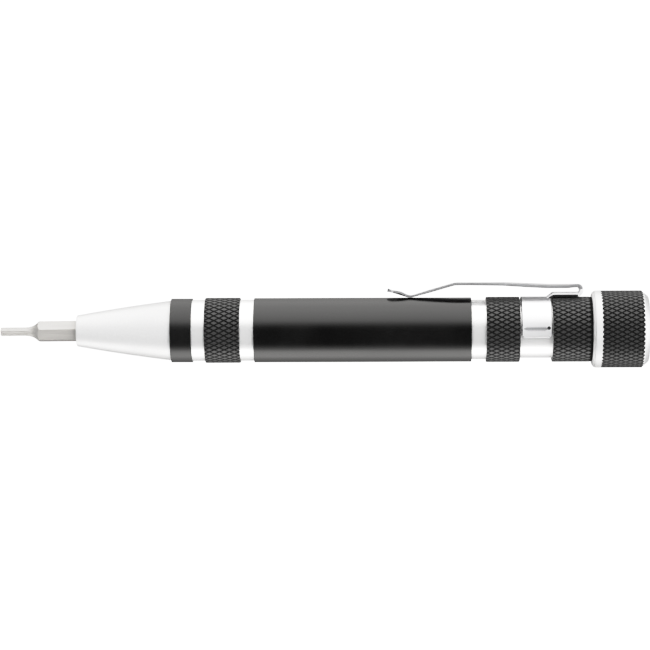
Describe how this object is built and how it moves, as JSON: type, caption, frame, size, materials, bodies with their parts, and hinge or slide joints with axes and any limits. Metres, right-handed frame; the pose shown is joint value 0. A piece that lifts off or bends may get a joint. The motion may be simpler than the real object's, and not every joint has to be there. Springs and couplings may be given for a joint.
{
  "type": "pocket screwdriver",
  "caption": "Pen-sized screwdriver: magnetic nose for small six-sided bits, knurled barrel that stores spare bits on a carrier under a screw cap, and a sprung pocket clip.",
  "frame": {"origin": "centre of the nose's mouth, where the bit goes in, on the tool's axis", "axes": "+X along the tool from the tip to the cap, +Z towards the pocket clip, as the picture shows it"},
  "size_m": [0.1362, 0.0162, 0.018],
  "materials": {
    "black_anodised": "black anodised, satin, with bright cut grooves",
    "satin_aluminium": "bead blasted, clear anodised",
    "cap_aluminium": "turned, bright, with a black anodised knurl",
    "turned_aluminium": "turned",
    "socket_steel": "broached, plain",
    "magnet_nickel": "nickel plated",
    "dark_steel": "black oxide",
    "bit_steel": "satin nickel",
    "polished_steel": "polished spring steel",
    "seal_rubber": "moulded",
    "carrier_plastic": "moulded, matte"
  },
  "bodies": {
    "handle": {"barrel": "black_anodised", "nose_cone": "satin_aluminium", "bit_socket": "socket_steel", "bit_magnet": "magnet_nickel", "set_screw": "dark_steel"},
    "bit": {"driver_bit": "bit_steel"},
    "carrier": {"bit_carrier": "carrier_plastic", "carrier_screw": "dark_steel", "spare_bit_slotted_wide": "bit_steel", "spare_bit_slotted_narrow": "bit_steel", "spare_bit_cross_large": "bit_steel", "spare_bit_cross_small": "bit_steel", "spare_bit_star": "bit_steel", "spare_bit_hex": "bit_steel"},
    "cap": {"end_cap": "cap_aluminium", "cap_plug": "turned_aluminium", "seal_ring": "seal_rubber"},
    "clip": {"clip_band": "polished_steel"},
    "clip_spring": {"clip_arm": "polished_steel"}
  },
  "joints": [
    {"name": "bit_draw", "type": "slide", "parent": "handle", "child": "bit", "axis": [-1, 0, 0], "range_m": [0, 0.0125]},
    {"name": "carrier_draw", "type": "slide", "parent": "handle", "child": "carrier", "axis": [1, 0, 0], "range_m": [0, 0.082]},
    {"name": "cap_turn", "type": "hinge", "parent": "carrier", "child": "cap", "pos_m": [0.10825, 0, 0], "axis": [1, 0, 0], "range_deg": [0, 2160]},
    {"name": "clip_swivel", "type": "hinge", "parent": "handle", "child": "clip", "pos_m": [0.09657, 0, 0], "axis": [1, 0, 0], "continuous": true},
    {"name": "clip_flex", "type": "hinge", "parent": "clip", "child": "clip_spring", "pos_m": [0.1053, 0, 0.00824], "axis": [0, 1, 0], "range_deg": [0, 5], "stiffness_Nm_per_rad": 0.45}
  ]
}
